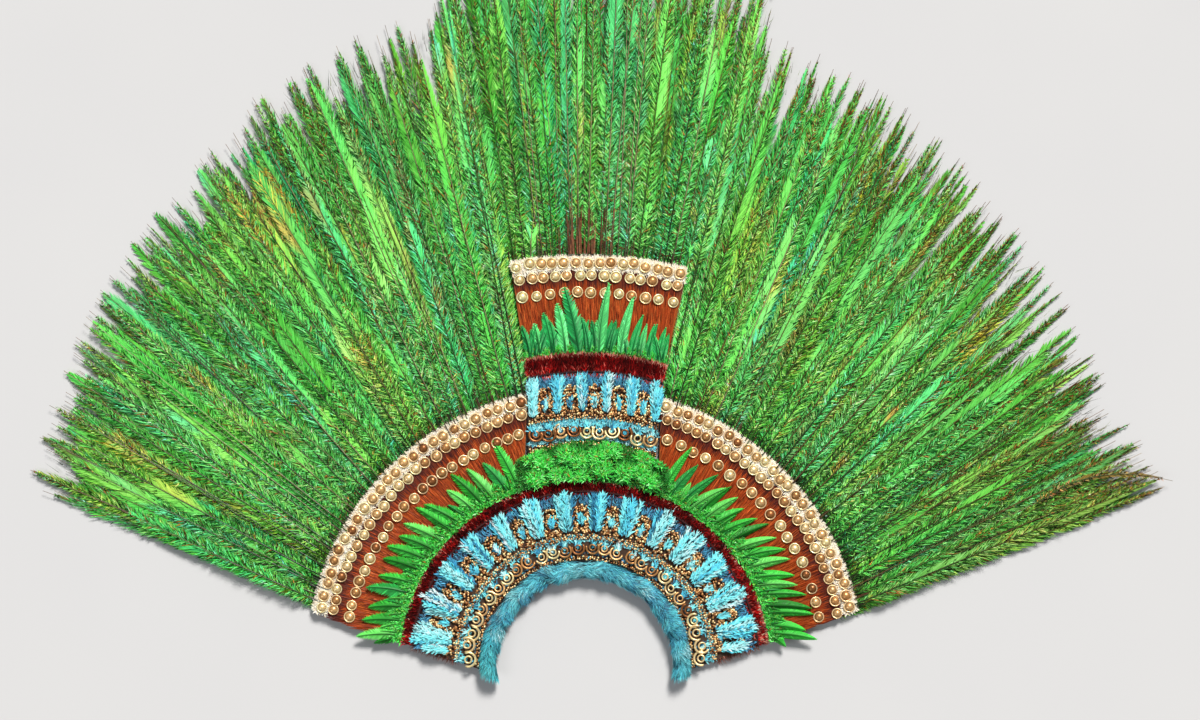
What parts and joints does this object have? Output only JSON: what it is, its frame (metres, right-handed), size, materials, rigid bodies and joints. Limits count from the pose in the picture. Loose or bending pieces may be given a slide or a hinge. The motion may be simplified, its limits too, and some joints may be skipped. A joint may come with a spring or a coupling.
{
  "type": "feathered headdress",
  "caption": "Wide fan-shaped feather headdress with long plumes, a half-round ornament band with discs, tufts and a fur roll, and an open half-round head opening.",
  "frame": {"origin": "middle of the object's plan box, on the surface that it lies on", "axes": "+X across the fan to the viewer's right, +Y from the head opening towards the plume tips, +Z out of the worn front, which lies uppermost"},
  "size_m": [1.7514, 1.1596, 0.0253],
  "materials": {
    "plume_green": "long emerald plumes with a silky sheen",
    "field_red_brown": "smooth red-brown feathers laid side by side",
    "down_cream": "matte cream down",
    "gold": "hammered and lightly tarnished",
    "leaf_green": "narrow glossy green feathers and short green down",
    "crimson_pile": "short velvety dark red feathers",
    "turquoise_down": "soft turquoise down"
  },
  "bodies": {
    "root": {"bead_line_main_inner": "gold", "bead_line_main_outer": "gold", "bead_line_tower_lower": "gold", "bead_line_tower_upper": "gold", "cream_rim_left": "down_cream", "cream_rim_right": "down_cream", "cream_rim_tower": "down_cream", "crescent_row_main": "gold", "crescent_row_tower": "gold", "crimson_strip_main": "crimson_pile", "crimson_strip_tower": "crimson_pile", "disc_row_left_1": "gold", "disc_row_left_2": "gold", "disc_row_left_3": "gold", "disc_row_right_1": "gold", "disc_row_right_2": "gold", "disc_row_right_3": "gold", "disc_row_tower_1": "gold", "disc_row_tower_2": "gold", "disc_row_tower_3": "gold", "fur_rim": "turquoise_down", "green_fringe_left": "leaf_green", "green_fringe_right": "leaf_green", "green_fringe_tower": "leaf_green", "green_tuft_crown": "leaf_green", "plume_bundle_right_1": "plume_green", "plume_bundle_right_2": "plume_green", "plume_bundle_right_3": "plume_green", "plume_bundle_right_4": "plume_green", "plume_bundle_right_5": "plume_green", "plume_bundle_right_6": "plume_green", "plume_bundle_right_7": "plume_green", "plume_bundle_right_8": "plume_green", "plume_bundle_crown_1": "plume_green", "plume_bundle_crown_2": "plume_green", "plume_bundle_crown_3": "plume_green", "plume_bundle_crown_4": "plume_green", "plume_bundle_crown_5": "plume_green", "plume_bundle_left_1": "plume_green", "plume_bundle_left_2": "plume_green", "plume_bundle_left_3": "plume_green", "plume_bundle_left_4": "plume_green", "plume_bundle_left_5": "plume_green", "plume_bundle_left_6": "plume_green", "plume_bundle_left_7": "plume_green", "plume_bundle_left_8": "plume_green", "red_field_left": "field_red_brown", "red_field_right": "field_red_brown", "red_field_tower": "field_red_brown", "tuft_band_main": "turquoise_down", "tuft_band_tower": "turquoise_down"}
  },
  "joints": []
}
